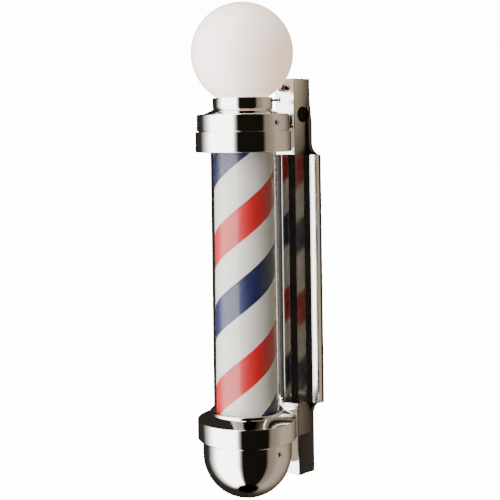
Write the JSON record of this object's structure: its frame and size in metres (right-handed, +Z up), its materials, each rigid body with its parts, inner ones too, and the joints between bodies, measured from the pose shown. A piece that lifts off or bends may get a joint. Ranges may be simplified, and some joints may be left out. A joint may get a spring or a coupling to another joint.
{
  "type": "wall-mounted revolving barber pole light",
  "caption": "Wall-mounted revolving pole light: a motor-driven striped drum turns round a tube lamp inside a glass cylinder, under an opal globe lamp.",
  "frame": {"origin": "middle of the back frame's wall-side face", "axes": "+X to the right seen from the front, +Y into the wall, -Y out towards the viewer, +Z up along the pole"},
  "size_m": [0.178, 0.2366, 0.8575],
  "materials": {
    "chrome": "mirror-bright chrome plate",
    "screw_steel": "bright plated screw heads",
    "thumbscrew": "dulled plated steel",
    "cast_frame": "satin-ground casting",
    "polished_sheet": "polished metal sheet",
    "blank_plate": "dark plain plate",
    "plated_steel": "zinc plate",
    "brass": "machined",
    "aluminium_cap": "bright turned",
    "rubber": "matt",
    "nylon": "natural nylon",
    "phenolic": "moulded phenolic",
    "enamel": "enamel",
    "opal_glass": "blown opal glass",
    "frosted_glass": "frosted",
    "clear_glass": "clear, polished",
    "striped_drum": "white translucent sheet with a printed red and a blue spiral band",
    "magnet": "ferrite",
    "winding": "enamelled copper winding"
  },
  "bodies": {
    "frame": {"back_frame": "cast_frame", "ballast": "enamel", "blank_plate": "blank_plate", "bridge_screws": "plated_steel", "cap_screws": "screw_steel", "centre_post": "brass", "dome_cup": "chrome", "dome_screws": "screw_steel", "gearbox_case": "plated_steel", "gearbox_cover": "plated_steel", "glass_cylinder": "clear_glass", "glass_retainer": "plated_steel", "globe": "opal_glass", "globe_bulb_base": "brass", "globe_bulb_glass": "frosted_glass", "globe_gasket": "rubber", "globe_holder": "chrome", "globe_lampholder": "phenolic", "guide_sleeve": "brass", "hanger_cap_nut": "chrome", "hanger_washer": "chrome", "lamp_bridge": "plated_steel", "lamp_caps": "aluminium_cap", "lamp_tube": "frosted_glass", "lower_collar": "chrome", "lower_gasket": "rubber", "lower_lampholder": "phenolic", "lug_bolts": "plated_steel", "motor_case": "plated_steel", "motor_coil": "winding", "motor_plate": "plated_steel", "motor_screws": "plated_steel", "nipple": "brass", "nipple_nuts": "brass", "panel_fixings": "plated_steel", "plate_screws": "plated_steel", "plate_standoffs": "brass", "post_nut": "brass", "retainer_screws": "plated_steel", "ribbed_panel": "polished_sheet", "room_covers": "plated_steel", "terminal_block": "phenolic", "thrust_washer": "nylon", "top_cap": "chrome", "upper_gasket": "rubber", "upper_lampholder": "phenolic", "upper_ring": "chrome", "wire_sleeve": "plated_steel"},
    "drum": {"striped_drum": "striped_drum", "drum_bottom_disc": "aluminium_cap", "drum_top_spider": "nylon", "drum_hub": "aluminium_cap", "hub_screws": "plated_steel", "drum_gear": "nylon"},
    "motor_output": {"output_shaft": "plated_steel", "output_pinion": "brass", "output_gear": "brass"},
    "rotor": {"motor_rotor": "magnet"},
    "thumbscrew_side": {"thumbscrew_side": "thumbscrew"},
    "thumbscrew_rear": {"thumbscrew_rear": "thumbscrew"}
  },
  "joints": [
    {"name": "drum_spin", "type": "hinge", "parent": "frame", "child": "drum", "pos_m": [0, -0.1476, 0], "axis": [0, 0, 1], "continuous": true},
    {"name": "output_spin", "type": "hinge", "parent": "frame", "child": "motor_output", "pos_m": [0.04005, -0.1476, 0], "axis": [0, 0, 1], "continuous": true},
    {"name": "rotor_spin", "type": "hinge", "parent": "frame", "child": "rotor", "pos_m": [0.02232, -0.16002, 0], "axis": [0, 0, 1], "continuous": true},
    {"name": "thumbscrew_side_travel", "type": "slide", "parent": "frame", "child": "thumbscrew_side", "axis": [0.7071, 0.7071, 0], "range_m": [0, 0.005]},
    {"name": "thumbscrew_rear_travel", "type": "slide", "parent": "frame", "child": "thumbscrew_rear", "axis": [-0.9659, 0.2588, 0], "range_m": [0, 0.005]}
  ],
  "couplings": [
    {"joint": "output_spin", "follows": "drum_spin", "ratio": -4},
    {"joint": "rotor_spin", "follows": "drum_spin", "ratio": 20}
  ]
}
